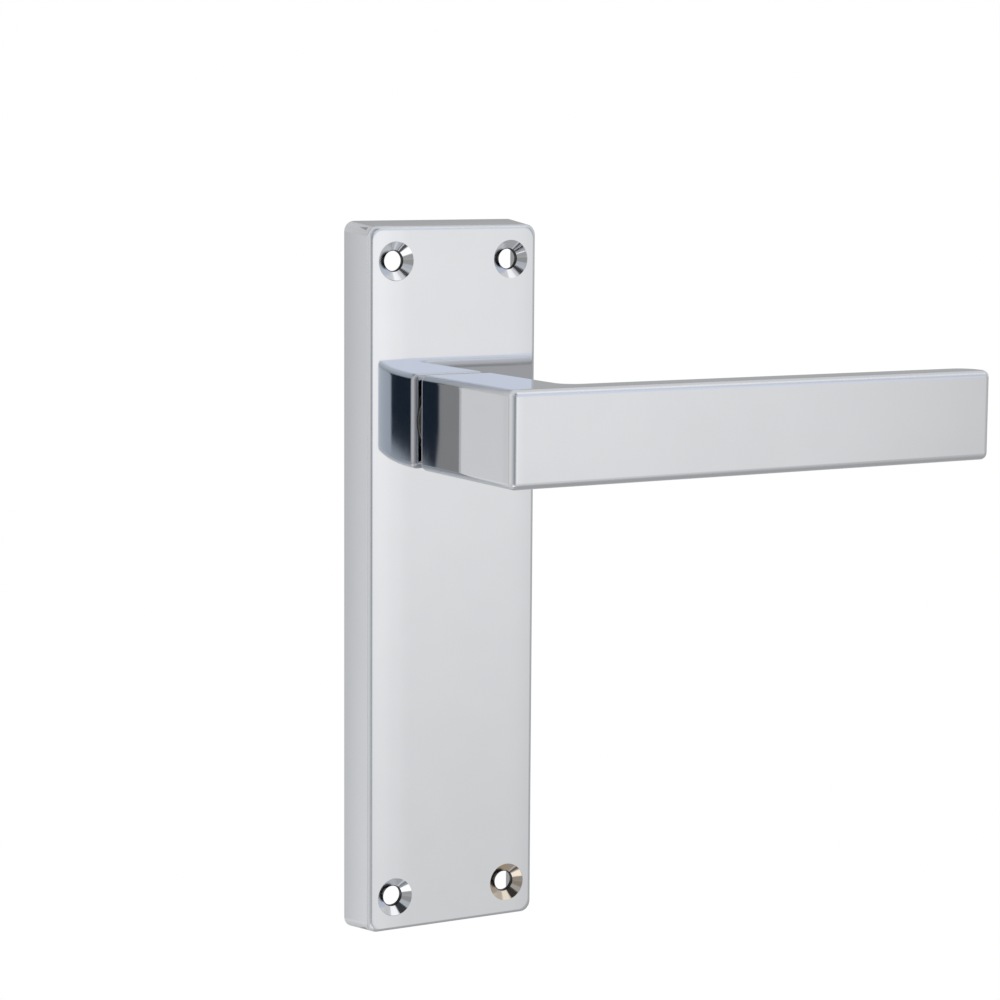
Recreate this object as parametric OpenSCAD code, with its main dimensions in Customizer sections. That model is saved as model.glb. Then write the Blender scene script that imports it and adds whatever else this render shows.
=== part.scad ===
// Door lever handle on a latch backplate.
// +X runs along the grip, -Y points out of the door, +Z is up. The origin is on the
// spindle axis, in the plane of the door. Depths are measured out from the door.

/* [Backplate] */
// Width of the plate where it meets the door
plate_w = 41; // [36:0.5:60]
// Height of the plate where it meets the door
plate_h = 150; // [125:1:220]
// Depth of the plate from the door to its face
plate_t = 10; // [9:0.5:16]
// How far each side leans in between the door and the face
side_draft = 0.8; // [0:0.1:1.5]
// Radius round the rim of the face
rim_r = 0.8; // [0.4:0.1:1.5]
// Radius of the four upright corners
corner_r = 1.4; // [0.8:0.1:3]
// Thickness of the face
face_wall = 2.2; // [1.8:0.1:3]
// Thickness of the sides, all the way up
side_wall = 1.4; // [1.2:0.1:3]
// Distance from the top of the plate down to the spindle
spindle_drop = 41.5; // [32:0.5:70]
// Thickness of the cross ribs inside the plate
rib_t = 1.6; // [1:0.1:2.5]

/* [Fixing holes] */
// Distance from the sides of the plate to the screw holes
fix_from_side = 7; // [6:0.5:10]
// Distance from the ends of the plate to the screw holes
fix_from_end = 8; // [6:0.5:14]
// Bore for the screws
fix_bore = 4.2; // [3.5:0.1:5]
// Width of the countersinks at the face
fix_csk = 8; // [7:0.1:9.5]
// Depth of the countersinks
csk_depth = 1.4; // [1:0.1:1.7]
// Distance from the screw holes to the ribs that back them up
fix_to_rib = 8; // [6:0.5:12]

/* [Lever] */
// Distance from the door to the front of the grip
reach = 50; // [38:0.5:75]
// Distance from the spindle axis to the tip of the grip
tip_x = 110; // [80:1:150]
// Width of the neck
neck_w = 17.5; // [17:0.1:22]
// Height of the lever at the neck
lever_h = 20; // [17:0.1:26]
// Height of the grip at its tip
tip_h = 19.4; // [15:0.1:26]
// Thickness of the grip
grip_t = 9; // [7:0.1:12]
// Edge radius on the front of the grip and on the neck
edge_r = 1; // [0.5:0.1:1.5]
// Edge radius on the back of the grip
back_edge_r = 1.8; // [0.8:0.1:2.5]
// Radius of the tip's back corner, seen from above
tip_r = 5.5; // [3:0.1:6.5]
// Radius in the corner between the neck and the grip
inner_r = 2.5; // [1:0.1:6]
// Gap between the plate and the neck
neck_gap = 1.2; // [0.8:0.1:2]

/* [Shank and spindle socket] */
// Side of the square spindle
spindle = 8; // [6:0.1:10]
// Metal left in the shank at the corners of the socket
shank_wall = 1.27; // [1.1:0.01:2]
// Depth of the two flats on the shank, behind the bearing
flat_cut = 1; // [0.6:0.1:1.3]
// Room round the spindle, on each side
spindle_fit = 0.05; // [0.02:0.01:0.15]
// Depth of the spindle socket
socket_l = 24; // [14:0.5:28]
// Length of shank left behind the circlip groove
shank_land = 0.55; // [0.4:0.05:1]
// How far the end of the shank stays below the door
end_gap = 0.2; // [0.1:0.05:0.5]

/* [Bearing] */
// Wall of the bearing bush
bush_wall = 1.1; // [0.8:0.1:1.8]
// Running fit of the shank in the bush, all round
run_fit = 0.06; // [0.03:0.01:0.1]
// Thickness of the bush's flange
flange_t = 0.6; // [0.5:0.1:1]
// How far the flange reaches past the bush
flange_w = 1.8; // [1:0.1:2]
// How far the bush stays below the face
bush_recess = 0.3; // [0.1:0.1:0.6]
// Wall of the hub cast round the bush
hub_wall = 2; // [1.5:0.1:2.2]
// Thickness of the washer between the plate and the neck
front_washer_t = 0.9; // [0.5:0.1:0.9]
// Width of that washer's ring
front_washer_w = 1.05; // [0.7:0.05:1.3]
// Free play of the lever along its axis
end_play = 0.1; // [0.05:0.01:0.15]

/* [Return spring] */
// Diameter of the spring wire
wire_d = 1.2; // [0.9:0.05:1.25]
// Room between the coil and the hub
coil_gap = 0.7; // [0.5:0.1:1.2]
// Length of the two legs outside the coil
leg_l = 4.4; // [3.5:0.1:4.8]
// Distance between turns, on top of the wire
turn_gap = 0.02; // [0.01:0.01:0.1]

/* [Driver, washers and circlip] */
// Thickness of the driver plate
driver_t = 1.2; // [1:0.1:1.5]
// How far the driver plate reaches past the coil
driver_lap = 1.4; // [1:0.1:1.6]
// Length of the stop ear
ear_l = 5; // [4:0.1:5.5]
// Width of the stop ear
ear_w = 6; // [4:0.1:7]
// How far the lever turns between its stops, in degrees
travel = 45; // [30:1:50]
// Room between the ear and each stop
stop_gap = 0.12; // [0.08:0.01:0.3]
// Thickness of each stop
stop_t = 3.6; // [2.5:0.1:5]
// Play of the driver on the shank's flats
key_fit = 0.05; // [0.03:0.01:0.1]
// Thickness of the disc spring's steel
disc_t = 0.3; // [0.2:0.05:0.35]
// Height of the disc spring over its cone
disc_h = 0.5; // [0.4:0.05:0.6]
// Width of the back washer's ring
back_washer_w = 2.85; // [2:0.05:3.5]
// Thickness of the back washer
back_washer_t = 0.4; // [0.3:0.05:0.6]
// Thickness of the circlip
clip_t = 1; // [0.8:0.05:1.2]
// Depth of the circlip groove
groove_d = 0.55; // [0.4:0.05:0.6]
// Width of the circlip's ring
clip_w = 1.9; // [1.6:0.1:2.4]

/* [Hidden] */
$fn = 64;
eps = 0.02;
hull_fn = 32;

// The back corner of the tip is softened less than the grip's back edges
back_soft = back_edge_r - 0.5;

// The plate
plate_z = spindle_drop - plate_h / 2;
fix_dx = plate_w - 2 * fix_from_side;
fix_dz = plate_h - 2 * fix_from_end;
cavity_d = plate_t - face_wall;
cavity_w = plate_w - 2 * side_wall;
rib_h = cavity_d - 3;
long_rib_z = [plate_z - plate_h / 4, plate_z];
screw_rib_z = [for (s = [-1, 1]) plate_z + s * (fix_dz / 2 - fix_to_rib)];

// The shank
socket = spindle + 2 * spindle_fit;
shank_d = socket * sqrt(2) + 2 * shank_wall;
flats_w = shank_d - 2 * flat_cut;

// The stack on the shank, from the door outwards
groove_from = end_gap + shank_land;
washer_from = groove_from + clip_t;
disc_from = washer_from + back_washer_t;
driver_from = disc_from + disc_h;
driver_to = driver_from + driver_t;
flange_from = driver_to + end_play;
hub_from = flange_from + flange_t;
neck_from = plate_t + neck_gap;
washer_bore = shank_d + 0.3;
front_washer_d = washer_bore + 2 * front_washer_w;
back_washer_d = washer_bore + 2 * back_washer_w;

// The bearing
bush_bore = shank_d + 2 * run_fit;
bush_d = bush_bore + 2 * bush_wall;
hub_d = bush_d + 2 * hub_wall;

// The return spring, coiled round the hub. Angles are clockwise from the top.
coil_r = hub_d / 2 + coil_gap + wire_d / 2;
turn = wire_d + turn_gap;
fixed_a = 230;
moving_a = 150;
turns = (moving_a + 720 - fixed_a) / 360;
coil_out = cavity_d - wire_d / 2 - 0.1;
bend_r = 1.6;
bend_a = 8;
leg_end = coil_r + leg_l;
wire_sides = 8;
end_out = coil_out - turn * turns;
finger_gap = 0.15;
finger_lap = 0.7;

// The driver
driver_r = coil_r + wire_d / 2 + driver_lap;
ear_r = driver_r + ear_l;
finger_from = driver_r - 0.6;
finger_to = finger_from + 2.6;
finger_out = end_out + wire_d / 2 + finger_lap;

// A front view drawn in 2D becomes a slab between two depths
module slab(from, to) {
    translate([0, -from, 0]) rotate([90, 0, 0]) linear_extrude(to - from) children();
}

module rod(d, from, to) {
    translate([0, -from, 0]) rotate([90, 0, 0]) cylinder(d = d, h = to - from);
}

module at_fixings() {
    for (sx = [-1, 1], sz = [-1, 1])
        translate([sx * fix_dx / 2, 0, plate_z + sz * fix_dz / 2]) children();
}

// One layer of the plate's outside, a given distance inside its outline at the door
module plate_layer(out, inset) {
    w = plate_w - 2 * inset;
    h = plate_h - 2 * inset;
    for (sx = [-1, 1], sz = [-1, 1])
        translate([sx * (w / 2 - corner_r), 0, plate_z + sz * (h / 2 - corner_r)])
            rod(2 * corner_r, out - eps, out, $fn = hull_fn);
}

// How far the sides have leaned in at a depth
function lean(out) = side_draft * out / (plate_t - rim_r);

module cavity() {
    hull() for (out = [-1, cavity_d]) plate_layer(out, side_wall + lean(out));
}

module plate_outside() {
    shoulder = plate_t - rim_r;
    hull() {
        plate_layer(eps, 0);
        for (a = [0:22.5:90])
            plate_layer(shoulder + rim_r * sin(a), side_draft + rim_r * (1 - cos(a)));
    }
}

module countersunk_hole() {
    rod(fix_bore, -1, plate_t + 1);
    translate([0, -plate_t - eps, 0]) rotate([-90, 0, 0])
        cylinder(d1 = fix_csk + 2 * eps, d2 = fix_bore, h = csk_depth + eps);
}

// A stop for the driver's ear: the ear rests against it at one end of the travel
module stop_block(side) {
    near = ear_w / 2 + stop_gap;
    slab(driver_from, cavity_d + eps)
        translate([side > 0 ? near : -near - stop_t, driver_r + 0.6]) square([stop_t, ear_l]);
}

module spring_post() {
    post_w = 3;
    rotate([0, fixed_a, 0])
        slab(driver_to + 0.4, cavity_d + eps)
            translate([wire_d / 2, driver_r + 0.6]) square([post_w, leg_l - driver_lap - 0.4]);
}

module backplate() {
    color([0.80, 0.81, 0.83]) difference() {
        union() {
            difference() {
                plate_outside();
                cavity();
            }
            intersection() {
                union() {
                    for (z = concat(long_rib_z, screw_rib_z))
                        translate([0, 0, z])
                            slab(cavity_d - rib_h, cavity_d + eps) square([cavity_w, rib_t], center = true);
                    slab(cavity_d - rib_h, cavity_d + eps)
                        translate([-rib_t / 2, long_rib_z[0]]) square([rib_t, long_rib_z[1] - long_rib_z[0]]);
                    stop_block(-1);
                    rotate([0, travel, 0]) stop_block(1);
                    spring_post();
                }
                translate([0, 0, plate_z]) slab(0, cavity_d + 2 * eps)
                    square([plate_w - 3 * side_draft, plate_h - 3 * side_draft], center = true);
            }
            rod(hub_d, hub_from, cavity_d + eps);
        }
        rod(bush_d, -1, plate_t + 1);
        at_fixings() countersunk_hole();
    }
}

module ball(x, out, z, r) {
    translate([x, -out, z]) sphere(r, $fn = hull_fn);
}

// The back half of an upright post with softened ends, for the tip's back corner
module soft_post(x, out, h, r, soft) {
    translate([x, -out, 0]) intersection() {
        union() {
            cylinder(r = r, h = h - 2 * soft, center = true, $fn = hull_fn);
            cylinder(r = r - soft, h = h, center = true, $fn = hull_fn);
        }
        translate([-r, 0, -h / 2]) cube([2 * r, r, h]);
    }
}

module neck() {
    hull() for (sx = [-1, 1], sz = [-1, 1], out = [neck_from + edge_r, reach - edge_r])
        ball(sx * (neck_w / 2 - edge_r), out, sz * (lever_h / 2 - edge_r), edge_r);
}

module grip() {
    back = reach - grip_t;
    tip_round = min(tip_r, grip_t - edge_r);
    hull() for (sz = [-1, 1]) {
        ball(edge_r - neck_w / 2, reach - edge_r, sz * (lever_h / 2 - edge_r), edge_r);
        ball(tip_x - edge_r, reach - edge_r, sz * (tip_h / 2 - edge_r), edge_r);
        ball(0, back + back_edge_r, sz * (lever_h / 2 - back_edge_r), back_edge_r);
        soft_post(tip_x - tip_round, back + tip_round, tip_h, tip_round, back_soft);
    }
}

module inner_corner() {
    x = neck_w / 2;
    out = reach - grip_t;
    translate([0, 0, -lever_h / 2 + back_edge_r]) linear_extrude(lever_h - 2 * back_edge_r)
        difference() {
            translate([x - edge_r, -out - edge_r]) square(inner_r + edge_r);
            translate([x + inner_r, -out + inner_r]) circle(inner_r);
        }
}

module flats(w, from, to) {
    for (sx = [-1, 1])
        slab(from, to) translate([sx * (w / 2 + shank_d / 2), 0]) square(shank_d, center = true);
}

module lever() {
    color([0.82, 0.83, 0.85]) difference() {
        union() {
            neck();
            grip();
            inner_corner();
            rod(shank_d, end_gap, neck_from + 2 * edge_r);
        }
        slab(end_gap - 1, end_gap + socket_l) square(socket, center = true);
        flats(flats_w, end_gap - 1, flange_from);
        difference() {
            rod(shank_d + 1, groove_from, washer_from);
            rod(shank_d - 2 * groove_d, groove_from - 1, washer_from + 1);
        }
    }
}

module ring(d, bore, from, to) {
    slab(from, to) difference() {
        circle(d = d);
        circle(d = bore);
    }
}

module front_washer() {
    color([0.20, 0.20, 0.21]) ring(front_washer_d, washer_bore, plate_t, plate_t + front_washer_t);
}

module bearing_bush() {
    color([0.90, 0.89, 0.84]) {
        ring(bush_d, bush_bore, hub_from - eps, plate_t - bush_recess);
        ring(bush_d + 2 * flange_w, bush_bore, flange_from, hub_from);
    }
}

module double_d(bore, across) {
    intersection() {
        circle(d = bore);
        square([across, bore], center = true);
    }
}

module spring_driver() {
    color([0.62, 0.63, 0.62]) {
        slab(driver_from, driver_to) difference() {
            union() {
                circle(driver_r);
                translate([-ear_w / 2, 0]) square([ear_w, ear_r]);
                rotate(-moving_a) translate([-finger_gap - wire_d / 2 - driver_t, 0]) square([driver_t, finger_to]);
            }
            double_d(shank_d + 2 * key_fit, flats_w + 2 * key_fit);
        }
        rotate([0, moving_a, 0]) slab(driver_to - eps, finger_out)
            translate([-finger_gap - wire_d / 2 - driver_t, finger_from]) square([driver_t, finger_to - finger_from]);
    }
}

module disc_spring() {
    outer = back_washer_d / 2 - 0.5;
    inner = washer_bore / 2;
    color([0.45, 0.46, 0.48]) translate([0, -disc_from, 0]) rotate([90, 0, 0])
        rotate_extrude() polygon([[inner, 0], [inner, disc_t], [outer, disc_h], [outer, disc_h - disc_t]]);
}

module back_washer() {
    color([0.72, 0.71, 0.66]) ring(back_washer_d, washer_bore, washer_from, disc_from);
}

module circlip() {
    seat_r = shank_d / 2 - groove_d;
    eye_r = 1.35;
    eye_a = 16;
    color([0.20, 0.20, 0.21]) slab(groove_from, washer_from) difference() {
        union() {
            circle(seat_r + clip_w);
            for (s = [-1, 1])
                rotate(180 + s * eye_a) translate([0, seat_r + eye_r]) circle(eye_r);
        }
        circle(seat_r + eps / 2);
        rotate(180) polygon([[0, 0], [-3 * sin(eye_a / 2) * seat_r, 3 * seat_r], [3 * sin(eye_a / 2) * seat_r, 3 * seat_r]]);
        for (s = [-1, 1])
            rotate(180 + s * eye_a) translate([0, seat_r + eye_r]) circle(0.6, $fn = 24);
    }
}

// A point at a clockwise angle from the top, a radius and a depth
function polar(a, r, out) = [r * sin(a), -out, r * cos(a)];
function bend(a, dir, out) =
    [for (t = [0:0.25:1])
        let (p = polar(a, coil_r + bend_r, out), q = polar(a, coil_r, out),
             s = polar(a + dir * bend_a, coil_r, out))
        (1 - t) * (1 - t) * p + 2 * t * (1 - t) * q + t * t * s];
function reversed(v) = [for (i = [len(v) - 1:-1:0]) v[i]];
function unit(v) = v / norm(v);

module return_spring() {
    end_a = fixed_a + 360 * turns;
    step = 10;
    coil = [for (a = [fixed_a + 2 * bend_a:step:end_a - 2 * bend_a])
        polar(a, coil_r, coil_out - turn * (a - fixed_a) / 360)];
    path = concat([polar(fixed_a, leg_end, coil_out)], bend(fixed_a, 1, coil_out), coil,
                  reversed(bend(end_a, -1, end_out)), [polar(end_a, leg_end, end_out)]);
    n = len(path);
    rings = [for (i = [0:n - 1])
        let (t = unit(path[min(i + 1, n - 1)] - path[max(i - 1, 0)]),
             u = unit(cross(t, [0, 1, 0])), v = cross(u, t))
        for (k = [0:wire_sides - 1])
            path[i] + wire_d / 2 * (cos(360 * k / wire_sides) * u + sin(360 * k / wire_sides) * v)];
    walls = [for (i = [0:n - 2], k = [0:wire_sides - 1])
        let (m = (k + 1) % wire_sides, o = i * wire_sides)
        [o + k, o + m, o + wire_sides + m, o + wire_sides + k]];
    color([0.55, 0.56, 0.57]) polyhedron(rings, concat(
        [[for (k = [wire_sides - 1:-1:0]) k]], walls,
        [[for (k = [0:wire_sides - 1]) (n - 1) * wire_sides + k]]));
}

backplate();
lever();
front_washer();
bearing_bush();
return_spring();
spring_driver();
disc_spring();
back_washer();
circlip();
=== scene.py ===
import math

import bmesh
import bpy
from mathutils import Matrix, Vector


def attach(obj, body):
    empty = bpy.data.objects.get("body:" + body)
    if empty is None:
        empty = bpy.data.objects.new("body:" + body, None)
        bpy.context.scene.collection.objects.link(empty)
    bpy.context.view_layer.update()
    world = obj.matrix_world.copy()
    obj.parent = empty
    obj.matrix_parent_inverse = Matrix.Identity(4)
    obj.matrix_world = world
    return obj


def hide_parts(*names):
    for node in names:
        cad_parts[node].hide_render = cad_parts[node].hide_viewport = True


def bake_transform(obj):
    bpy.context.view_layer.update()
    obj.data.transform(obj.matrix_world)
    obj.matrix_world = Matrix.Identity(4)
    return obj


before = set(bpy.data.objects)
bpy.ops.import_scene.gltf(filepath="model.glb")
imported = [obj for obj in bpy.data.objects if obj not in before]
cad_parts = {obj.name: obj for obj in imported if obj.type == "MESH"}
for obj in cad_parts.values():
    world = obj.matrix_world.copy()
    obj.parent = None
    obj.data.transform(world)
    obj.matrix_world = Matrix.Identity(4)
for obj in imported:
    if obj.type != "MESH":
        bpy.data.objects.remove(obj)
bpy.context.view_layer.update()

# ---------------------------------------------------------------------------
# Camera. It stands to the left of the handle, a little above it, and is tipped
# by a third of a degree.
MM = 0.001
view_azimuth = math.radians(-29.476)
view_elevation = math.radians(7.308)
view_roll = math.radians(0.379)
aim = Vector((13.838, -5.545, -18.045)) * MM
camera_distance = 638.38 * MM

towards_camera = Vector((
    math.sin(view_azimuth) * math.cos(view_elevation),
    -math.cos(view_azimuth) * math.cos(view_elevation),
    math.sin(view_elevation),
))
camera = bpy.data.objects.new("camera", bpy.data.cameras.new("camera"))
bpy.context.scene.collection.objects.link(camera)
camera.matrix_world = (
    Matrix.Translation(aim + camera_distance * towards_camera)
    @ towards_camera.to_track_quat("Z", "Y").to_matrix().to_4x4()
    @ Matrix.Rotation(view_roll, 4, "Z")
)
camera.data.sensor_width = 36
camera.data.lens = 107.68
camera.data.clip_start = 0.01
camera.data.clip_end = 50
bpy.context.scene.camera = camera
bpy.context.scene.view_settings.view_transform = "Standard"
bpy.context.scene.view_settings.look = "None"


# ---------------------------------------------------------------------------
# Studio. The handle hangs clear of a white sweep. Soft boxes, a grey flat behind
# it and the dark shape of a person beside the camera show only in the polish.
class Signal:
    """One number that varies over a node tree; arithmetic on it adds the Math nodes."""

    def __init__(self, tree, socket):
        self.tree = tree
        self.socket = socket

    def math(self, operation, *others):
        node = self.tree.nodes.new("ShaderNodeMath")
        node.operation = operation
        for socket, item in zip(node.inputs, (self, *others)):
            if isinstance(item, Signal):
                self.tree.links.new(item.socket, socket)
            else:
                socket.default_value = item
        return Signal(self.tree, node.outputs[0])

    def __add__(self, other):
        return self.math("ADD", other)

    __radd__ = __add__

    def __sub__(self, other):
        return self.math("SUBTRACT", other)

    def __rsub__(self, other):
        return self.math("MULTIPLY_ADD", -1.0, other)

    def __mul__(self, other):
        return self.math("MULTIPLY", other)

    __rmul__ = __mul__

    def __truediv__(self, other):
        return self.math("DIVIDE", other)

    def __abs__(self):
        return self.math("ABSOLUTE")

    def __pow__(self, power):
        return self.math("POWER", power)

    def least(self, other):
        return self.math("MINIMUM", other)

    def most(self, other):
        return self.math("MAXIMUM", other)

    def rise(self, low, high):
        """0 below low, 1 above high, smooth between them; high below low turns it round."""
        node = self.tree.nodes.new("ShaderNodeMapRange")
        node.interpolation_type = "SMOOTHSTEP"
        flip = high < low
        node.inputs["From Min"].default_value = min(low, high)
        node.inputs["From Max"].default_value = max(low, high)
        node.inputs["To Min"].default_value = 1.0 if flip else 0.0
        node.inputs["To Max"].default_value = 0.0 if flip else 1.0
        self.tree.links.new(self.socket, node.inputs["Value"])
        return Signal(self.tree, node.outputs["Result"])


class Recipe:
    """A node tree under construction."""

    def __init__(self, tree):
        self.tree = tree
        tree.nodes.clear()

    def add(self, kind, settings=None, **sockets):
        """Adds a node, sets what it is set to, then fills or links its sockets by name."""
        node = self.tree.nodes.new(kind)
        for name, value in (settings or {}).items():
            if name == "stops":
                ramp = node.color_ramp
                while len(ramp.elements) < len(value):
                    ramp.elements.new(1.0)
                for element, (at, colour) in zip(ramp.elements, value):
                    element.position = at
                for element, (at, colour) in zip(ramp.elements, value):
                    element.color = (*colour, 1.0)
            elif name == "interpolation":
                node.color_ramp.interpolation = value
            else:
                setattr(node, name, value)
        for name, value in sockets.items():
            key = int(name[1:]) if name[0] == "i" and name[1:].isdigit() else name.replace("_", " ")
            socket = node.inputs[key]
            if isinstance(value, Signal):
                self.tree.links.new(value.socket, socket)
            elif isinstance(value, bpy.types.NodeSocket):
                self.tree.links.new(value, socket)
            else:
                socket.default_value = value
        return node

    def signal(self, socket):
        return Signal(self.tree, socket)

    def apart(self, vector):
        node = self.add("ShaderNodeSeparateXYZ", Vector=vector)
        return [self.signal(s) for s in node.outputs]

    def blend(self, share, first, second):
        """Colour mix: first where share is 0, second where it is 1."""
        node = self.add("ShaderNodeMix", {"data_type": "RGBA"}, i0=share, i6=first, i7=second)
        return node.outputs[2]


def azimuth_stops(pairs):
    """Ramp stops from (degrees round the horizon, colour) pairs; 0 is towards the front."""
    return [((degrees + 180.0) / 360.0, colour) for degrees, colour in pairs]


def even(value, warmth=0.0):
    """A grey, warm where warmth is above 0."""
    return (value * (1 + warmth), value, value * (1 - warmth))


below_horizon = azimuth_stops([
    (-180, even(0.62)), (-155, even(0.74, -0.01)), (-147, even(0.73, -0.01)), (-135, even(0.56, -0.012)),
    (-118, even(0.80)), (-90, even(0.92)), (-60, even(0.70)), (-48, even(0.52)),
    (-18, (0.50, 0.56, 0.63)), (-9, (0.80, 0.84, 0.90)), (0, even(0.98)), (14, even(1.12)),
    (22, even(1.06)), (26, even(1.02)), (31, even(0.97)), (35, even(0.91)), (40, even(0.75)),
    (52, even(0.62)), (70, even(0.62)), (90, even(0.50)), (112, even(0.50)), (135, even(0.60)),
    (152, even(0.60)), (180, even(0.62)),
])
above_horizon = azimuth_stops([
    (-180, even(0.55)), (-150, even(0.66)), (-120, even(0.85)), (-90, even(0.95)), (-60, even(0.60)),
    (-18, (0.50, 0.56, 0.63)), (0, (0.80, 0.85, 0.93)), (18, (0.84, 0.90, 1.02)), (35, (0.84, 0.90, 1.03)),
    (50, (0.55, 0.58, 0.64)), (75, even(0.70)), (95, even(0.90)), (120, even(0.60)),
    (145, even(0.43, -0.01)), (160, even(0.43, -0.01)), (180, even(0.55)),
])

world = bpy.data.worlds.new("studio")
bpy.context.scene.world = world
world.use_nodes = True
sky = Recipe(world.node_tree)
direction = sky.add("ShaderNodeTexCoord").outputs["Generated"]
across, inwards, upwards = sky.apart(direction)
height = upwards.math("ARCSINE") * math.degrees(1)
azimuth = across.math("ARCTAN2", inwards * -1.0) * math.degrees(1)
turn = (azimuth + 180.0) / 360.0
low = sky.add("ShaderNodeValToRGB", {"stops": below_horizon, "interpolation": "EASE"}, Fac=turn).outputs[0]
high = sky.add("ShaderNodeValToRGB", {"stops": above_horizon, "interpolation": "EASE"}, Fac=turn).outputs[0]
# The table darkens towards its near edge
behind = abs(azimuth).rise(95.0, 130.0)
table = 1.03 - (0.20 - 0.32 * behind) * height.rise(-3.0, -17.0) - 0.06 * height.rise(-20.0, -60.0)
low = sky.add("ShaderNodeVectorMath", {"operation": "SCALE"}, Vector=low, Scale=table).outputs[0]
room = sky.blend(height.rise(-0.6, 1.2), low, high)


def patch(left, right, bottom, top):
    """1 in a soft-edged oblong of directions; each edge is (degrees where 0, degrees where 1)."""
    return azimuth.rise(*left) * azimuth.rise(*right) * height.rise(*bottom) * height.rise(*top)


# A large soft box overhead, with a brighter one inside it
room = sky.blend(height.rise(24.0, 48.0), room, (0.80, 0.81, 0.83, 1.0))
lamp = patch((16.0, 20.0), (68.0, 62.0), (38.0, 41.0), (64.0, 61.0))
room = sky.blend(lamp, room, (1.25, 1.25, 1.26, 1.0))
# Under the handle: the bare table, a glossy card on it and the card's dark edge
below = height.rise(-36.0, -42.0)
room = sky.blend(below * azimuth.rise(4.0, 12.0), room, (0.46, 0.46, 0.47, 1.0))
card = patch((-70.0, -66.0), (-22.0, -26.0), (-58.0, -55.0), (-28.0, -31.0))
room = sky.blend(card, room, (1.45, 1.45, 1.45, 1.0))
card_edge = patch((-26.0, -22.0), (0.0, -4.0), (-70.0, -67.0), (-54.0, -57.0))
room = sky.blend(card_edge, room, (0.10, 0.10, 0.11, 1.0))
# The person beside the camera: a jacket, and a warmer grey sleeve
lower_edge = -6.9 + (azimuth + 31.0) * 0.05
standing = (height - lower_edge).rise(-0.15, 0.25) * height.rise(16.0, 11.0)
seam = azimuth + 32.7 + (height + 7.3).least(1.2).most(-1.2) * 2.5
jacket = seam.rise(-0.9, 0.9) * azimuth.rise(-18.6, -19.4) * standing
# The camera on its stand, over the person's shoulder
stand = patch((-33.0, -30.0), (12.0, 9.0), (31.0, 34.0), (57.0, 54.0))
sleeve = azimuth.rise(-49.0, -46.0) * seam.rise(0.9, -0.9) * standing
room = sky.blend(sleeve, room, (0.37, 0.365, 0.36, 1.0))
room = sky.blend(jacket, room, (0.016, 0.026, 0.042, 1.0))
room = sky.blend(stand, room, (0.05, 0.05, 0.055, 1.0))
seen_directly = sky.signal(sky.add("ShaderNodeLightPath").outputs["Is Camera Ray"])
room = sky.blend(seen_directly, room, (1.0, 1.0, 1.0, 1.0))
background = sky.add("ShaderNodeBackground", Color=room)
sky.add("ShaderNodeOutputWorld", Surface=background.outputs[0])


def new_mesh_object(name, form):
    """Turns a bmesh into a named object at the origin."""
    mesh = bpy.data.meshes.new(name)
    form.to_mesh(mesh)
    form.free()
    piece = bpy.data.objects.new(name, mesh)
    bpy.context.scene.collection.objects.link(piece)
    return piece


floor_radius, floor_height = 6.0, -0.25
floor_form = bmesh.new()
floor_place = Matrix.Translation((0, 0, floor_height))
bmesh.ops.create_circle(floor_form, cap_ends=True, segments=96, radius=floor_radius, matrix=floor_place)
floor = new_mesh_object("floor", floor_form)
floor.visible_glossy = False
floor.visible_diffuse = False
floor_paint = bpy.data.materials.new("floor_paint")
floor_paint.use_nodes = True
paint = Recipe(floor_paint.node_tree)
glow = paint.add("ShaderNodeEmission", Color=(1.0, 1.0, 1.0, 1.0), Strength=1.0)
paint.add("ShaderNodeOutputMaterial", Surface=glow.outputs[0])
floor.data.materials.append(floor_paint)


def soft_box(name, at, size, power):
    """A lamp for the plastics and the raw metal; it doesn't show in the polish."""
    lamp = bpy.data.objects.new(name, bpy.data.lights.new(name, "AREA"))
    lamp.data.shape = "DISK"
    lamp.data.size = size
    lamp.data.energy = power
    lamp.location = at
    lamp.rotation_euler = Vector(at).to_track_quat("Z", "Y").to_euler()
    lamp.visible_glossy = False
    bpy.context.scene.collection.objects.link(lamp)


soft_box("key_light", (-0.7, -0.8, 0.9), 0.6, 5.0)
soft_box("back_light", (0.5, 0.9, 0.6), 0.6, 5.0)


# ---------------------------------------------------------------------------
# Backplate. One hollow zinc casting: a face with leaning sides, four countersunk
# holes, a hub, ribs and stops inside. It is ground, buffed and chrome plated.
plate_width, plate_height, plate_depth = 41.0, 150.0, 10.0
plate_middle = 41.5 - plate_height / 2
side_lean, rim_radius, corner_radius = 0.8, 0.9, 2.2
face_wall, side_wall = 2.2, 1.4
hollow_depth = plate_depth - face_wall
screw_across, screw_apart = 27.0, 134.0
screw_bore, countersink, sink_depth = 4.2, 8.0, 1.4
sink_start = plate_depth - sink_depth
sink_slope = (countersink - screw_bore) / 2 / sink_depth
hub_width, hub_start, bush_width = 20.32, 4.55, 16.32
ARC = 16


def at(x, out, z):
    """A point from millimetres, with its depth measured out from the door."""
    return Vector((x, -out, z)) * MM


def rounded_outline(width, height, radius, middle):
    """Corner by corner, anticlockwise as seen from the front."""
    points = []
    for quarter, (side, end) in enumerate(((1, 1), (-1, 1), (-1, -1), (1, -1))):
        for step in range(ARC // 2 + 1):
            angle = math.radians(90 * quarter + 90 * step / (ARC // 2))
            points.append((
                side * (width / 2 - radius) + radius * math.cos(angle),
                middle + end * (height / 2 - radius) + radius * math.sin(angle),
            ))
    return points


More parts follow.
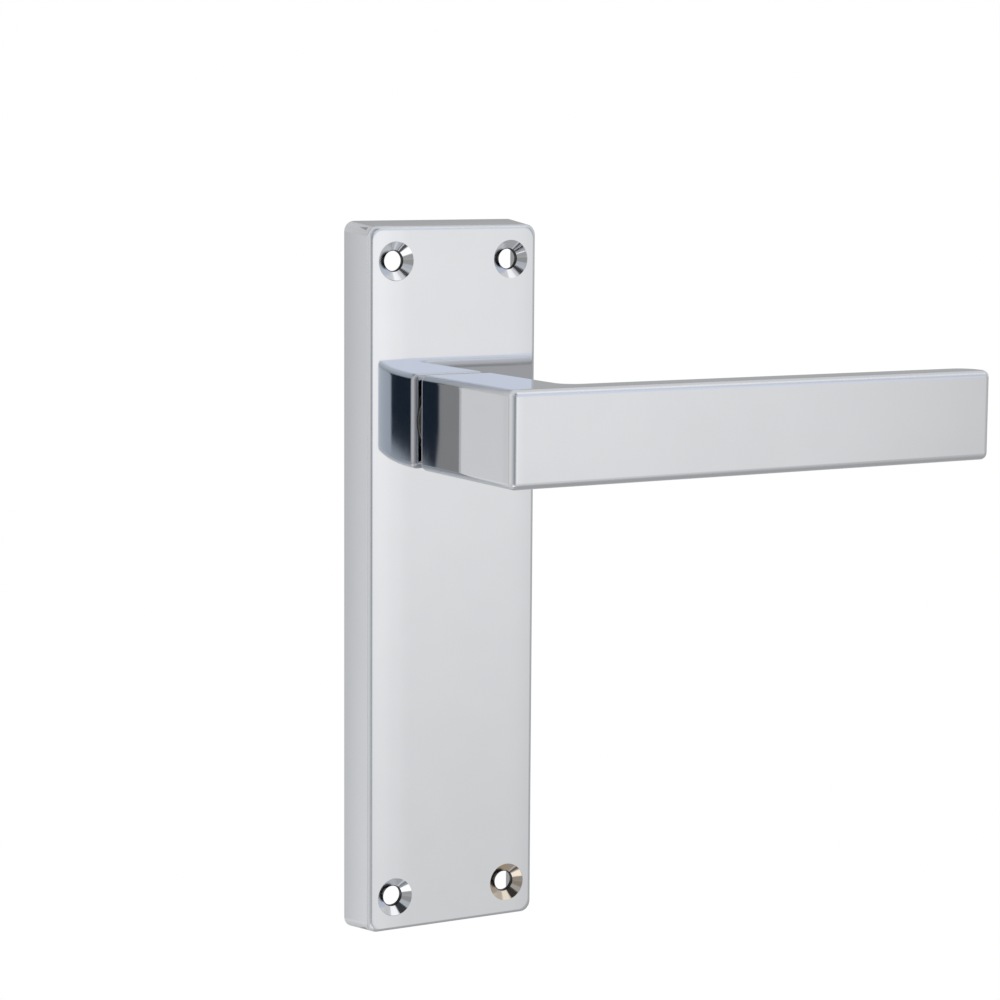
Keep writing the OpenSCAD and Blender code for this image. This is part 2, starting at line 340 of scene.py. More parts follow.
def stack(name, layers):
    """A closed solid through outlines of equal length; each layer is (points, out)."""
    form = bmesh.new()
    rings = [[form.verts.new(at(x, out, z)) for x, z in points] for points, out in layers]
    for lower, upper in zip(rings, rings[1:]):
        count = len(lower)
        for i in range(count):
            form.faces.new((lower[i], lower[(i + 1) % count], upper[(i + 1) % count], upper[i]))
    form.faces.new(rings[0][::-1])
    form.faces.new(rings[-1])
    bmesh.ops.recalc_face_normals(form, faces=form.faces)
    return new_mesh_object(name, form)


def turned(name, profile, x=0.0, z=0.0, steps=72):
    """A closed turned solid about an axis out of the door; profile is a closed list of (radius, out)."""
    form = bmesh.new()
    rings = []
    for radius, out in profile:
        if radius < 1e-6:
            rings.append([form.verts.new(at(x, out, z))] * steps)
        else:
            rings.append([
                form.verts.new(at(x + radius * math.cos(2 * math.pi * i / steps), out,
                                  z + radius * math.sin(2 * math.pi * i / steps)))
                for i in range(steps)
            ])
    for ring, following in zip(rings, rings[1:] + rings[:1]):
        for i in range(steps):
            k = (i + 1) % steps
            corners = []
            for v in (ring[i], ring[k], following[k], following[i]):
                if v not in corners:
                    corners.append(v)
            if len(corners) > 2:
                form.faces.new(corners)
    bmesh.ops.recalc_face_normals(form, faces=form.faces)
    return new_mesh_object(name, form)


def block(name, low, high, edge=0.0, turn_degrees=0.0):
    """A rectangular boss between two corners (x, out, z), with softened edges, turned clockwise."""
    form = bmesh.new()
    bmesh.ops.create_cube(form, size=1.0)
    centre = [(a + b) / 2 for a, b in zip(low, high)]
    for v in form.verts:
        x, out, z = (c + p * (b - a) for c, p, a, b in zip(centre, v.co, low, high))
        v.co = at(x, out, z)
    bmesh.ops.recalc_face_normals(form, faces=form.faces)
    if edge:
        edges = list(form.edges)
        bmesh.ops.bevel(form, geom=edges, offset=edge * MM, segments=3, affect="EDGES", profile=0.5)
    bmesh.ops.rotate(form, verts=form.verts, matrix=Matrix.Rotation(math.radians(turn_degrees), 3, "Y"))
    form.normal_update()
    if form.calc_volume(signed=True) < 0:
        bmesh.ops.reverse_faces(form, faces=form.faces)
    return new_mesh_object(name, form)


def settle(piece):
    """Applies every modifier, leaving a plain mesh."""
    graph = bpy.context.evaluated_depsgraph_get()
    mesh = bpy.data.meshes.new_from_object(piece.evaluated_get(graph))
    piece.modifiers.clear()
    old, piece.data = piece.data, mesh
    bpy.data.meshes.remove(old)


def carve(piece, tools, operation):
    """Joins solids to a piece or cuts them out of it, and uses the tools up."""
    for tool in tools:
        step = piece.modifiers.new("carve", "BOOLEAN")
        step.operation = operation
        step.solver = "EXACT"
        step.object = tool
        settle(piece)
        bpy.data.objects.remove(tool)


def finish_edges(piece, angle=30.0):
    """Smooth shading that keeps flat faces flat and true edges sharp."""
    form = bmesh.new()
    form.from_mesh(piece.data)
    bmesh.ops.remove_doubles(form, verts=form.verts, dist=2e-7)
    bmesh.ops.dissolve_degenerate(form, edges=form.edges, dist=1e-7)
    form.to_mesh(piece.data)
    form.free()
    piece.data.shade_smooth()
    piece.data.set_sharp_from_angle(angle=math.radians(angle))
    weigh = piece.modifiers.new("weigh", "WEIGHTED_NORMAL")
    weigh.mode = "FACE_AREA"
    weigh.weight = 50
    weigh.keep_sharp = True
    settle(piece)


shell_layers = [(rounded_outline(plate_width, plate_height, corner_radius, plate_middle), 0.0)]
for step in range(ARC // 2 + 1):
    angle = math.radians(90 * step / (ARC // 2))
    inset = side_lean + rim_radius * (1 - math.cos(angle))
    shell_layers.append((
        rounded_outline(plate_width - 2 * inset, plate_height - 2 * inset, corner_radius, plate_middle),
        plate_depth - rim_radius + rim_radius * math.sin(angle),
    ))
backplate = stack("backplate_casting", shell_layers)

# The hollow follows the sides up, and is rounded where it meets the face
hollow_corner, past = 0.6, 1.0
corner_points = ((1.0, 0.0), (0.5, 0.13), (0.13, 0.5), (0.0, 1.0))
hollow_profile = [(-past, 0.0)]
for down, inward in corner_points:
    hollow_profile.append((hollow_depth - down * hollow_corner, inward * hollow_corner))
hollow_layers = []
for out, inward in hollow_profile:
    inset = side_wall + side_lean * out / (plate_depth - rim_radius) + inward
    width, height_left = plate_width - 2 * inset, plate_height - 2 * inset
    hollow_layers.append((rounded_outline(width, height_left, corner_radius, plate_middle), out))
carve(backplate, [stack("hollow", hollow_layers)], "DIFFERENCE")

# Ribs, hub and stops are rooted a little way into the face and the sides
root, side_root = 0.4, 0.05
seat = hollow_depth + root
rib_start, rib_half, rib_edge, screw_to_rib = 3.0, 0.8, 0.3, 8.0
rib_reach = plate_width / 2 - side_wall + side_root
long_rib_start = rib_start + 0.15
rib_low, rib_high = plate_middle - plate_height / 4, plate_middle
screw_ribs = [plate_middle + end * (screw_apart / 2 - screw_to_rib) for end in (-1, 1)]
ribs = [
    block("rib", (-rib_reach, rib_start, z - rib_half), (rib_reach, seat, z + rib_half), rib_edge)
    for z in (rib_low, rib_high, *screw_ribs)
]
ribs.append(block("rib", (-rib_half, long_rib_start, rib_low), (rib_half, seat, rib_high), rib_edge))
carve(backplate, ribs, "UNION")


def node_tree_for(name, sizes):
    """A Geometry Nodes tree with named number inputs and a finish; returns it and its recipe."""
    tree = bpy.data.node_groups.new(name, "GeometryNodeTree")
    tree.interface.new_socket("Geometry", in_out="INPUT", socket_type="NodeSocketGeometry")
    for size in sizes:
        tree.interface.new_socket(size, in_out="INPUT", socket_type="NodeSocketFloat")
    tree.interface.new_socket("Finish", in_out="INPUT", socket_type="NodeSocketMaterial")
    tree.interface.new_socket("Geometry", in_out="OUTPUT", socket_type="NodeSocketGeometry")
    return tree, Recipe(tree)


def set_growing(piece, tree, settings):
    """Puts a tree on an object; each setting goes to the input of that name."""
    grow = piece.modifiers.new("grow", "NODES")
    grow.node_group = tree
    for item in tree.interface.items_tree:
        if item.in_out == "INPUT" and item.name in settings:
            grow[item.identifier] = settings[item.name]


def grow_with(tree, piece, settings):
    """Runs a tree on an object and keeps the mesh that comes out."""
    set_growing(piece, tree, settings)
    settle(piece)
    return piece


def end_tree(grow, geometry, finish):
    """The last nodes of a tree: real geometry in one finish."""
    real = grow.add("GeometryNodeRealizeInstances", Geometry=geometry)
    painted = grow.add("GeometryNodeSetMaterial", Geometry=real.outputs[0], Material=finish)
    grow.add("NodeGroupOutput", Geometry=painted.outputs[0])


def new_finish(name):
    """A material and the recipe for it, with a place to read positions in millimetres."""
    material = bpy.data.materials.new(name)
    material.use_nodes = True
    recipe = Recipe(material.node_tree)
    place = recipe.add("ShaderNodeTexCoord").outputs["Object"]
    scaled = recipe.add("ShaderNodeVectorMath", {"operation": "SCALE"}, Vector=place, Scale=1 / MM)
    return material, recipe, scaled.outputs[0]


def four_at_the_screws():
    """Four equal cones or cylinders, one on each screw's axis, pointing out of the door."""
    tree, grow = node_tree_for("four_at_the_screws", [
        "Across", "Apart", "Middle", "Start radius", "End radius", "Start", "Length"])
    given = grow.add("NodeGroupInput").outputs
    corners = grow.add("GeometryNodeMeshGrid", Size_X=given["Across"], Size_Y=given["Apart"],
                       Vertices_X=2, Vertices_Y=2)
    height_up = grow.add("ShaderNodeCombineXYZ", Z=given["Middle"])
    upright = grow.add("GeometryNodeTransform", Geometry=corners.outputs["Mesh"],
                       Translation=height_up.outputs[0], Rotation=(math.radians(90), 0, 0))
    cone = grow.add("GeometryNodeMeshCone", Vertices=64, Radius_Bottom=given["Start radius"],
                    Radius_Top=given["End radius"], Depth=given["Length"])
    outwards = grow.add("ShaderNodeMath", {"operation": "MULTIPLY"}, i0=given["Start"], i1=-1.0)
    shift = grow.add("ShaderNodeCombineXYZ", Y=outwards.outputs[0])
    facing = grow.add("GeometryNodeTransform", Geometry=cone.outputs["Mesh"], Translation=shift.outputs[0],
                      Rotation=(math.radians(90), 0, 0))
    copies = grow.add("GeometryNodeInstanceOnPoints", Points=upright.outputs[0], Instance=facing.outputs[0])
    end_tree(grow, copies.outputs[0], given["Finish"])
    return tree


plate_chrome, skin, place_mm = new_finish("plate_chrome")
screws_tree = four_at_the_screws()


def at_the_screws(name, start_width, end_width, start, end):
    """The four cones or cylinders as one object, from two widths and two depths in millimetres."""
    piece = new_mesh_object(name, bmesh.new())
    return grow_with(screws_tree, piece, {
        "Across": screw_across * MM, "Apart": screw_apart * MM, "Middle": plate_middle * MM,
        "Start radius": start_width / 2 * MM, "End radius": end_width / 2 * MM,
        "Start": start * MM, "Length": (end - start) * MM, "Finish": plate_chrome})


driver_radius, driver_start, driver_end = 13.46, 2.65, 3.85
ear_length, ear_width, stop_gap, stop_size, travel = 5.0, 6.0, 0.12, 3.6, 45.0
spring_fixed, spring_moving = 230.0, 150.0
wire = 1.2
boss_edge, clear_of_driver, post_above_driver, post_width, post_height = 0.25, 0.6, 0.4, 3.0, 2.6
stop_near = ear_width / 2 + stop_gap
stop_far = stop_near + stop_size
stop_low = driver_radius + clear_of_driver
stop_high = stop_low + ear_length
hub_r, bush_r = hub_width / 2, bush_width / 2
carve(backplate, [
    turned("hub", [
        (hub_r - boss_edge, hub_start), (hub_r, hub_start + boss_edge), (hub_r, seat),
        (bush_r - 0.5, seat), (bush_r - 0.5, hub_start)]),
    block("rest_stop", (-stop_far, driver_start, stop_low), (-stop_near, seat, stop_high), boss_edge),
    block("travel_stop", (stop_near, driver_start, stop_low), (stop_far, seat, stop_high), boss_edge, travel),
    block("spring_post", (wire / 2, driver_end + post_above_driver, stop_low),
          (wire / 2 + post_width, seat, stop_low + post_height), boss_edge, spring_fixed),
], "UNION")
overcut, bore_edge, beyond = 0.1, 0.25, plate_depth + past
wider = 2 * sink_slope * overcut
carve(backplate, [
    turned("bush_bore", [
        (0, -past), (bush_r, -past), (bush_r, plate_depth - 0.2),
        (bush_r + bore_edge, plate_depth + overcut), (bush_r + bore_edge, beyond), (0, beyond)]),
    at_the_screws("bores", screw_bore, screw_bore, -past, beyond),
    at_the_screws("sinks", screw_bore - wider, countersink + wider,
                  sink_start - overcut, plate_depth + overcut),
], "DIFFERENCE")
finish_edges(backplate)
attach(backplate, "plate")
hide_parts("backplate")


def noise(recipe, place_mm, size_mm, stretch=(1.0, 1.0, 1.0), detail=2.0, seed=0.0):
    """Fractal noise whose patches are about size_mm across, from 0 to 1."""
    mapped = recipe.add("ShaderNodeMapping", Vector=place_mm, Location=(seed, seed * 0.7, -seed),
                        Scale=tuple(s / size_mm for s in stretch)).outputs[0]
    node = recipe.add("ShaderNodeTexNoise", Vector=mapped, Scale=1.0, Detail=detail, Roughness=0.5)
    return recipe.signal(node.outputs["Fac"])


def finish_surface(recipe, colour, metal, rough, relief_mm):
    """The last nodes of a material: relief is a height in millimetres."""
    bump = recipe.add("ShaderNodeBump", Height=relief_mm * MM, Distance=1.0, Strength=1.0)
    shader = recipe.add("ShaderNodeBsdfPrincipled", Base_Color=colour, Metallic=metal, Roughness=rough,
                        Normal=bump.outputs[0])
    recipe.add("ShaderNodeOutputMaterial", Surface=shader.outputs[0])


def chrome_marks(recipe, place_mm, seed, swell_mm):
    """Buffed chrome: its relief in millimetres, its roughness and its colour. A faint swell and
    hair scratches along X and Z make the relief, and a haze dulls it by patches."""
    swell = noise(recipe, place_mm, 24.0, detail=0.0, seed=seed) * swell_mm
    peel = noise(recipe, place_mm, 2.4, detail=1.0, seed=seed + 3) * 0.00012
    hairs = noise(recipe, place_mm, 0.16, (0.03, 1.0, 1.0), detail=2.0, seed=seed + 5)
    hairs_up = noise(recipe, place_mm, 0.16, (1.0, 1.0, 0.03), detail=2.0, seed=seed + 7)
    scratch = (hairs.rise(0.62, 0.80) + hairs_up.rise(0.66, 0.82)) * -0.00006
    haze = noise(recipe, place_mm, 9.0, detail=4.0, seed=seed + 9)
    rough = 0.035 + haze.rise(0.45, 0.75) * 0.03
    colour = recipe.blend(haze.rise(0.3, 0.7), (0.705, 0.715, 0.735, 1.0), (0.715, 0.725, 0.745, 1.0))
    return swell + peel + scratch, rough, colour


def mopped_edges(recipe):
    """1 where the surface slants, as on rounded edges, which the mop leaves softer; 0 on the flats."""
    facing = [abs(axis) for axis in recipe.apart(recipe.add("ShaderNodeTexCoord").outputs["Normal"])]
    return (1.0 - facing[0].most(facing[1]).most(facing[2])).rise(0.012, 0.06)


x_mm, y_mm, z_mm = skin.apart(place_mm)
out_mm = y_mm * -1.0
# Buffing rolls the face off towards its sides, most on the left
from_side = (plate_width / 2 - side_lean) - abs(x_mm)
from_end = (plate_height / 2 - side_lean) - abs(z_mm - plate_middle)
on_face = out_mm.rise(9.0, 9.2)
left_roll = (9.5 - (plate_width / 2 - side_lean + x_mm)).most(0.0)
right_roll = (6.0 - (plate_width / 2 - side_lean - x_mm)).most(0.0)
roll = (left_roll * left_roll * -0.00825 + right_roll * right_roll * -0.0040) * on_face
# The sides are dished by a hair between the door and the face
on_side = 1.0 - on_face
crown = (out_mm - 5.0) * (out_mm - 5.0) * 0.004 * on_side
relief, rough, chrome = chrome_marks(skin, place_mm, 1.0, 0.022)

screw_dx = abs(x_mm) - screw_across / 2
screw_dz = abs(z_mm - plate_middle) - screw_apart / 2
screw_r = (screw_dx * screw_dx + screw_dz * screw_dz) ** 0.5
sink_r = countersink / 2
in_sink = screw_r.rise(sink_r + 0.08, sink_r - 0.02) * out_mm.rise(sink_start - 0.02, sink_start + 0.03)
# The walls of the screw bores; below, their near-black colour is painted shade in the holes
bore_painted_shade = screw_r.rise(screw_bore / 2 + 0.20, screw_bore / 2 + 0.12)
# Inside the hollow the metal is as cast, with only a flash of plating
inside = from_side.rise(0.2, 0.35) * from_end.rise(0.2, 0.35)
inside = inside * out_mm.rise(hollow_depth + 0.06, hollow_depth + 0.03)
grain = noise(skin, place_mm, 0.5, detail=4.0, seed=11)
flow = noise(skin, place_mm, 14.0, (1.0, 1.0, 0.35), detail=3.0, seed=12)
# Four round marks where the ejector pins pushed the casting out of its die
pin_across, pin_middle, pin_apart = 13.0, plate_middle - plate_height / 8, 11.0
pin_x = abs(x_mm) - pin_across
pin_z = abs(z_mm - pin_middle) - pin_apart
pin = (pin_x * pin_x + pin_z * pin_z) ** 0.5
pin_ring = pin.rise(2.6, 2.5) * pin.rise(2.2, 2.3)
turning = (screw_r * 24.0).math("SINE")
turning_noise = noise(skin, place_mm, 0.7, detail=2.0, seed=15)
relief = relief * (1.0 - inside) + inside * (grain * 0.05 + pin_ring * -0.06)
relief = relief + in_sink * turning * 0.0009
relief = relief + (roll + crown) * (1.0 - inside) * (1.0 - in_sink)
rough = rough + mopped_edges(skin) * (1.0 - in_sink) * 0.32
rough = rough + in_sink * (0.03 + turning_noise * 0.04) + inside * (0.30 + flow * 0.18) + bore_painted_shade * 0.2
raw = skin.blend(flow, (0.36, 0.365, 0.37, 1.0), (0.50, 0.505, 0.51, 1.0))
warm_low = in_sink * z_mm.rise(-90.0, -95.0) * x_mm.rise(0.0, 5.0)
colour = skin.blend(warm_low, chrome, (0.62, 0.545, 0.46, 1.0))
colour = skin.blend(inside, colour, raw)
# Painted shade: the walls of the screw bores are coloured near-black, as the holes look dark
colour = skin.blend(bore_painted_shade, colour, (0.03, 0.03, 0.032, 1.0))
finish_surface(skin, colour, 1.0, rough, relief)


def paint_all(piece, material):
    """One material over the whole piece."""
    piece.data.materials.clear()
    piece.data.materials.append(material)
    piece.data.polygons.foreach_set("material_index", [0] * len(piece.data.polygons))


paint_all(backplate, plate_chrome)


# ---------------------------------------------------------------------------
# Bearing bush. A flanged sleeve moulded in off-white acetal, pressed into the
# plate's hub from behind. The shank turns in it, with a smear of grease.
shank_width, running_fit = 13.995, 0.06
bore_r = shank_width / 2 + running_fit
flange_start, flange_r, bush_end = 3.95, 9.96, 9.7
bush_acetal, skin, place_mm = new_finish("bush_acetal")
x_mm, y_mm, z_mm = skin.apart(place_mm)
bush = turned("bearing_bush_sleeve", [
    (bore_r + 0.2, flange_start), (flange_r - 0.15, flange_start), (flange_r, flange_start + 0.15),
    (flange_r, hub_start - 0.15), (flange_r - 0.15, hub_start), (bush_width / 2, hub_start),
    (bush_width / 2, bush_end - 0.3), (bush_width / 2 - 0.3, bush_end), (bore_r + 0.3, bush_end),
    (bore_r, bush_end - 0.3), (bore_r, flange_start + 0.2)], steps=120)
finish_edges(bush)
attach(bush, "plate")
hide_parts("bearing_bush")
mottle = noise(skin, place_mm, 1.6, detail=4.0, seed=41)
grease = noise(skin, place_mm, 3.5, detail=5.0, seed=43).rise(0.52, 0.66)
# A moulding gate leaves a small dimple on the flange
gate = ((x_mm - 8.6) * (x_mm - 8.6) + z_mm * z_mm) ** 0.5
relief = mottle * 0.006 + grease * 0.02 - gate.rise(0.55, 0.45) * 0.12
colour = skin.blend(mottle, (0.76, 0.75, 0.68, 1.0), (0.84, 0.83, 0.78, 1.0))
colour = skin.blend(grease, colour, (0.60, 0.55, 0.40, 1.0))
finish_surface(skin, colour, 0.0, 0.42 - grease * 0.22 + mottle * 0.1, relief)
paint_all(bush, bush_acetal)


# ---------------------------------------------------------------------------
# Front washer. A thin ring punched from black nylon sheet. It lies on the plate's
# face and keeps the neck from scraping the chrome.
def washer_tree():
    """A flat or coned ring with rounded edges, round an axis out of the door."""
    tree, grow = node_tree_for("washer", ["Bore", "Width", "Start", "Thickness", "Edge", "Rise"])
    given = grow.add("NodeGroupInput").outputs
    bore, width = (Signal(tree, given[n]) * 0.5 for n in ("Bore", "Width"))
    start, thickness, rise = (Signal(tree, given[n]) for n in ("Start", "Thickness", "Rise"))
    wall = width - bore
    path = grow.add("GeometryNodeCurvePrimitiveCircle", Resolution=160, Radius=(bore + width) * 0.5)
    section = grow.add("GeometryNodeCurvePrimitiveQuadrilateral", Width=wall, Height=thickness)
    eased = grow.add("GeometryNodeFilletCurve", {"mode": "POLY"}, Curve=section.outputs[0], Count=4,
                     Radius=given["Edge"], Limit_Radius=True)
    ring = grow.add("GeometryNodeCurveToMesh", Curve=path.outputs[0], Profile_Curve=eased.outputs[0])
    middle = grow.add("ShaderNodeCombineXYZ", Y=(start + thickness * 0.5) * -1.0)
    facing = grow.add("GeometryNodeTransform", Geometry=ring.outputs[0], Translation=middle.outputs[0],
                      Rotation=(math.radians(90), 0, 0))
    x, y, z = grow.apart(grow.add("GeometryNodeInputPosition").outputs[0])
    share = ((x * x + z * z) ** 0.5 - bore) / wall
    lift = grow.add("ShaderNodeCombineXYZ", Y=share * rise * -1.0)
    coned = grow.add("GeometryNodeSetPosition", Geometry=facing.outputs[0], Offset=lift.outputs[0])
    end_tree(grow, coned.outputs[0], given["Finish"])
    return tree


washers = washer_tree()


def washer(name, bore, width, start, thickness, edge, finish, rise=0.0):
    """A washer from sizes in millimetres; rise is how far it is coned."""
    piece = grow_with(washers, new_mesh_object(name, bmesh.new()), {
        "Bore": bore * MM, "Width": width * MM, "Start": start * MM, "Thickness": thickness * MM,
        "Edge": edge * MM, "Rise": rise * MM, "Finish": finish})
    form = bmesh.new()
    form.from_mesh(piece.data)
    bmesh.ops.recalc_face_normals(form, faces=form.faces)
    form.to_mesh(piece.data)
    form.free()
    finish_edges(piece, 50.0)
    return piece


washer_bore = shank_width + 0.3
front_washer_thickness, front_washer_wall = 0.9, 1.05
washer_nylon, skin, place_mm = new_finish("washer_nylon")
front_washer = washer("front_washer_ring", washer_bore, washer_bore + 2 * front_washer_wall, plate_depth,
                      front_washer_thickness, 0.12, washer_nylon)
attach(front_washer, "plate")
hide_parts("front_washer")
fibre = noise(skin, place_mm, 0.25, detail=3.0, seed=51)
rubbed = noise(skin, place_mm, 2.2, detail=3.0, seed=53).rise(0.48, 0.70)
colour = skin.blend(rubbed, (0.030, 0.028, 0.026, 1.0), (0.065, 0.062, 0.058, 1.0))
finish_surface(skin, colour, 0.0, 0.58 - rubbed * 0.18, fibre * 0.01)


# ---------------------------------------------------------------------------
# Lever. Neck, flat grip and shank are one zinc casting. The shank is turned, with
# two flats and a circlip groove; a square socket takes the spindle. It is buffed
# and chrome plated, softer along the back edges of the grip than in front.
reach, grip_tip, neck_width, grip_thickness = 50.0, 110.0, 17.5, 9.0
height_at_neck, height_at_tip = 20.0, 19.4
mouth = plate_depth + 1.2
front_edge, back_edge, tip_round, inner_round = 1.5, 2.0, 5.5, 2.5
shank_start, socket_size, socket_depth = 0.2, 8.1, 24.0
groove_low, groove_high, groove_cut = 0.75, 1.75, 0.55
flats_across, flats_end = 11.995, 3.95

soft, softer = front_edge / back_edge, 1.0
grip_back = reach - grip_thickness
plan = [(-neck_width / 2, mouth, soft), (-neck_width / 2, reach, soft), (grip_tip, reach, soft)]
for step in range(ARC + 1):
    angle = math.radians(90 * step / ARC)
    plan.append((grip_tip - tip_round + tip_round * math.cos(angle),
                 grip_back + tip_round - tip_round * math.sin(angle), soft + (softer - soft) * step / ARC))
for step in range(ARC // 2 + 1):
    angle = math.radians(90 * step / (ARC // 2))
    plan.append((neck_width / 2 + inner_round - inner_round * math.sin(angle),
                 grip_back - inner_round + inner_round * math.cos(angle),
                 softer + (soft - softer) * step / (ARC // 2)))
plan.append((neck_width / 2, mouth, soft))

lever_length = grip_tip + neck_width / 2
form = bmesh.new()
weight = form.edges.layers.float.new("bevel_weight_edge")
rims = []
for side in (-1, 1):
    ring = []
    for x, out, edge in plan:
        tall = height_at_neck + (height_at_tip - height_at_neck) * (x + neck_width / 2) / lever_length
        ring.append(form.verts.new(at(x, out, side * tall / 2)))
    rims.append(ring)
count = len(plan)
for i in range(count):
    k = (i + 1) % count
    form.faces.new((rims[0][i], rims[0][k], rims[1][k], rims[1][i]))
form.faces.new(rims[0][::-1])
form.faces.new(rims[1])
for ring in rims:
    for i in range(count):
        edge = form.edges.get((ring[i], ring[(i + 1) % count]))
        edge[weight] = (plan[i][2] + plan[(i + 1) % count][2]) / 2
for i in (0, 1, 2, count - 1):
    form.edges.get((rims[0][i], rims[1][i]))[weight] = soft
bmesh.ops.recalc_face_normals(form, faces=form.faces)
lever = new_mesh_object("lever_casting", form)
soften = lever.modifiers.new("soften", "BEVEL")
soften.limit_method = "WEIGHT"
soften.width = back_edge * MM
soften.segments = 8
soften.profile = 0.5
settle(lever)

shank_r, groove_r = shank_width / 2, shank_width / 2 - groove_cut
shank_edge, into_neck = 0.3, mouth + 2
shank = turned("shank", [
    (0, shank_start), (shank_r - shank_edge, shank_start), (shank_r, shank_start + shank_edge),
    (shank_r, groove_low), (groove_r, groove_low), (groove_r, groove_high), (shank_r, groove_high),
    (shank_r, into_neck), (0, into_neck)], steps=96)
flat_near, flat_far, flat_tall = flats_across / 2, flats_across / 2 + 4, 9
carve(shank, [
    block("flat", (-flat_far, -past, -flat_tall), (-flat_near, flats_end, flat_tall)),
    block("flat", (flat_near, -past, -flat_tall), (flat_far, flats_end, flat_tall)),
], "DIFFERENCE")
carve(lever, [shank], "UNION")
half, lead_in = socket_size / 2, 0.5
socket_layers = []
for s, out in ((half + lead_in, -0.3), (half, shank_start + lead_in), (half, shank_start + socket_depth)):
    socket_layers.append(([(-s, -s), (s, -s), (s, s), (-s, s)], out))
carve(lever, [stack("socket", socket_layers)], "DIFFERENCE")
finish_edges(lever)
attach(lever, "lever")
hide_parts("lever")

lever_chrome, skin, place_mm = new_finish("lever_chrome")
x_mm, y_mm = skin.apart(place_mm)[:2]
out_mm = y_mm * -1.0
relief, rough, chrome = chrome_marks(skin, place_mm, 21.0, 0.040)
# The shank is turned and stays unbuffed
turned_part = out_mm.rise(mouth - 0.3, mouth - 0.6)
turning = (out_mm * 30.0).math("SINE")
relief = relief + turned_part * turning * 0.0006
# The mop rolls the left end of the grip's face off
left_roll = (3.0 - (x_mm + neck_width / 2)).most(0.0)
relief = relief + left_roll * left_roll * -0.012 * out_mm.rise(reach - 4.0, reach - 1.0)
rough = rough + mopped_edges(skin) * (1.0 - turned_part) * 0.26 + turned_part * 0.2
colour = skin.blend(turned_part, chrome, (0.48, 0.48, 0.485, 1.0))
finish_surface(skin, colour, 1.0, rough, relief)
paint_all(lever, lever_chrome)


# ---------------------------------------------------------------------------
# Return spring. Bright spring wire wound round the hub, with two straight legs.
# One leg bears on the plate's post, the other on the driver's finger.
coil_gap, face_gap, turn_gap, leg_length = 0.7, 0.1, 0.02, 4.4
coil_radius = hub_width / 2 + coil_gap + wire / 2
coil_top = hollow_depth - wire / 2 - face_gap
turn_pitch = wire + turn_gap
leg_reach = coil_radius + leg_length
bend_radius, bend_angle = 1.6, 8.0
spring_end = spring_moving + 2 * 360.0
coil_low = coil_top - turn_pitch * (spring_end - spring_fixed) / 360.0


def clockwise(angle, radius, out):
    """A point at an angle from the top, as seen from the front."""
    turn = math.radians(angle)
    return at(radius * math.sin(turn), out, radius * math.cos(turn))


def bend_points(angle, way, out):
    """Points round the bend from a leg into the coil, which goes off the given way, 1 or -1."""
    leg = clockwise(angle, coil_radius + bend_radius, out)
    corner = clockwise(angle, coil_radius, out)
    coil = clockwise(angle + way * bend_angle, coil_radius, out)
    return [(1 - t) ** 2 * leg + 2 * t * (1 - t) * corner + t * t * coil for t in (i / 6 for i in range(7))]


def wire_tree():
    """A round wire along whatever curve the object holds."""
    tree, grow = node_tree_for("wire", ["Thickness"])
    given = grow.add("NodeGroupInput").outputs
    radius = Signal(tree, given["Thickness"]) * 0.5
    section = grow.add("GeometryNodeCurvePrimitiveCircle", Resolution=16, Radius=radius)
    tube = grow.add("GeometryNodeCurveToMesh", Curve=given["Geometry"], Profile_Curve=section.outputs[0],
                    Fill_Caps=True)
    end_tree(grow, tube.outputs[0], given["Finish"])
    return tree


spring_steel, skin, place_mm = new_finish("spring_steel")
route = [clockwise(spring_fixed, leg_reach, coil_top)] + bend_points(spring_fixed, 1, coil_top)
coil_start, coil_end = spring_fixed + 2 * bend_angle, spring_end - 2 * bend_angle
coil_steps = 120
for step in range(coil_steps + 1):
    angle = coil_start + (coil_end - coil_start) * step / coil_steps
    route.append(clockwise(angle, coil_radius, coil_top - turn_pitch * (angle - spring_fixed) / 360.0))
route += bend_points(spring_end, -1, coil_low)[::-1] + [clockwise(spring_end, leg_reach, coil_low)]
line = bpy.data.curves.new("spring_route", "CURVE")
line.dimensions = "3D"
line.twist_mode = "MINIMUM"
spline = line.splines.new("POLY")
spline.points.add(len(route) - 1)
for point, place in zip(spline.points, route):
    point.co = (*place, 1.0)
route_object = bpy.data.objects.new("spring_route", line)
bpy.context.scene.collection.objects.link(route_object)
set_growing(route_object, wire_tree(), {"Thickness": wire * MM, "Finish": spring_steel})
graph = bpy.context.evaluated_depsgraph_get()
spring_mesh = bpy.data.meshes.new_from_object(route_object.evaluated_get(graph))
bpy.data.objects.remove(route_object)
spring = bpy.data.objects.new("return_spring_wire", spring_mesh)
bpy.context.scene.collection.objects.link(spring)
finish_edges(spring, 50.0)
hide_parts("return_spring")
# Points at the coil's deep end, which the plate holds, and at its other end, which the lever turns
tuple(at(0, coil_top - wire / 2, 0))
tuple(at(0, coil_low + wire / 2, 0))
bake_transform(spring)
drawn = noise(skin, place_mm, 0.12, detail=3.0, seed=61)
oil = noise(skin, place_mm, 2.8, detail=4.0, seed=63).rise(0.45, 0.70)
colour = skin.blend(oil, (0.50, 0.50, 0.50, 1.0), (0.30, 0.28, 0.25, 1.0))
finish_surface(skin, colour, 1.0, 0.24 + oil * 0.14 + drawn * 0.08, drawn * 0.006)
paint_all(spring, spring_steel)


